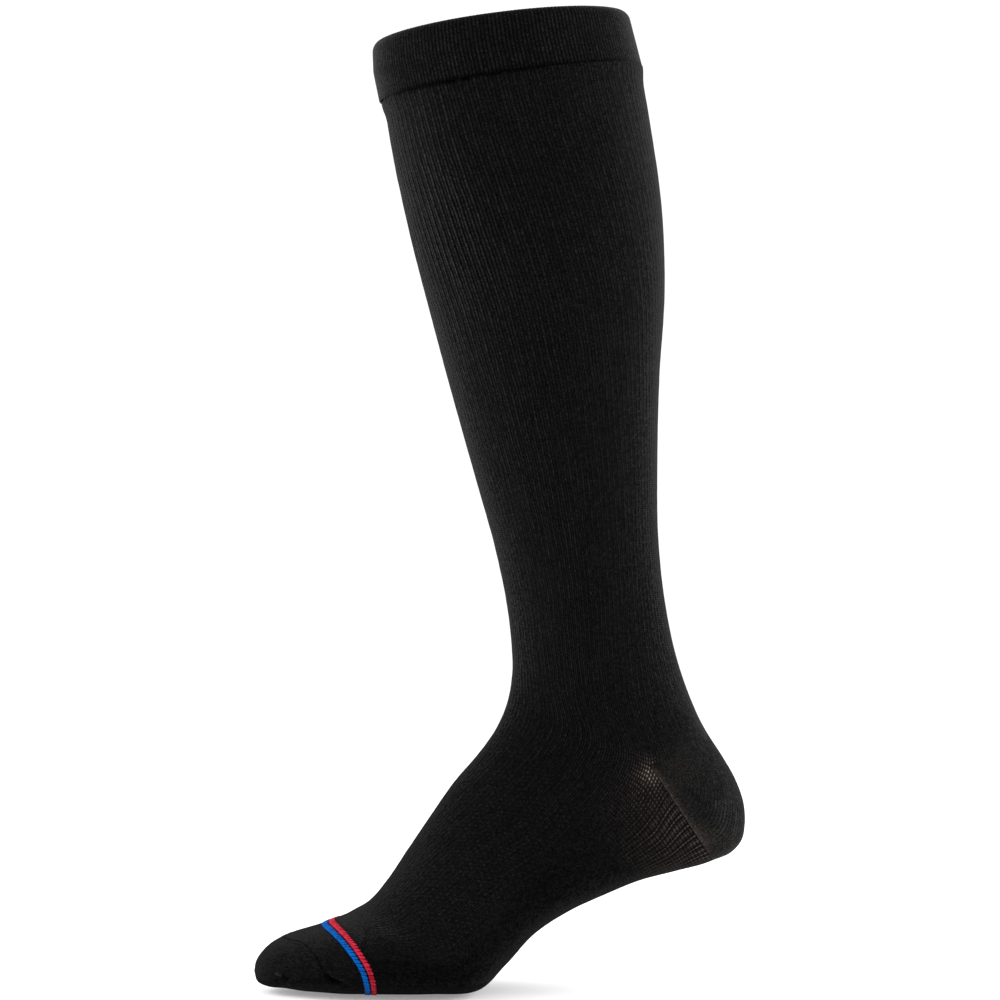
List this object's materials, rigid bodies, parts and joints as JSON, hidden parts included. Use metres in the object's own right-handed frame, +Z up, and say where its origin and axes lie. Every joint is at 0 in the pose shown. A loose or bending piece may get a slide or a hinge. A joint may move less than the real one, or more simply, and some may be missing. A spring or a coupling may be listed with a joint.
{
  "type": "compression stocking",
  "caption": "Knee-high compression stocking in black ribbed knit with a turned top band, heel pocket, closed toe and a red and a blue ring, in the hollow form of wear on tiptoe.",
  "frame": {"origin": "centre of the leg opening at the top rim, where the wearer's leg holds the stocking", "axes": "+Z up, toes towards -Y, heel towards +Y, left-right symmetric about X = 0"},
  "size_m": [0.116, 0.2385, 0.475],
  "materials": {
    "black_knit": "black nylon and elastane rib and plain knit, matt with a soft grazing sheen",
    "red_knit": "red nylon knit stitches, matt",
    "blue_knit": "blue nylon knit stitches, matt"
  },
  "bodies": {
    "root": {"welt": "black_knit", "leg": "black_knit", "heel": "black_knit", "foot": "black_knit", "stripe_red": "red_knit", "stripe_blue": "blue_knit", "toe": "black_knit"}
  },
  "joints": []
}
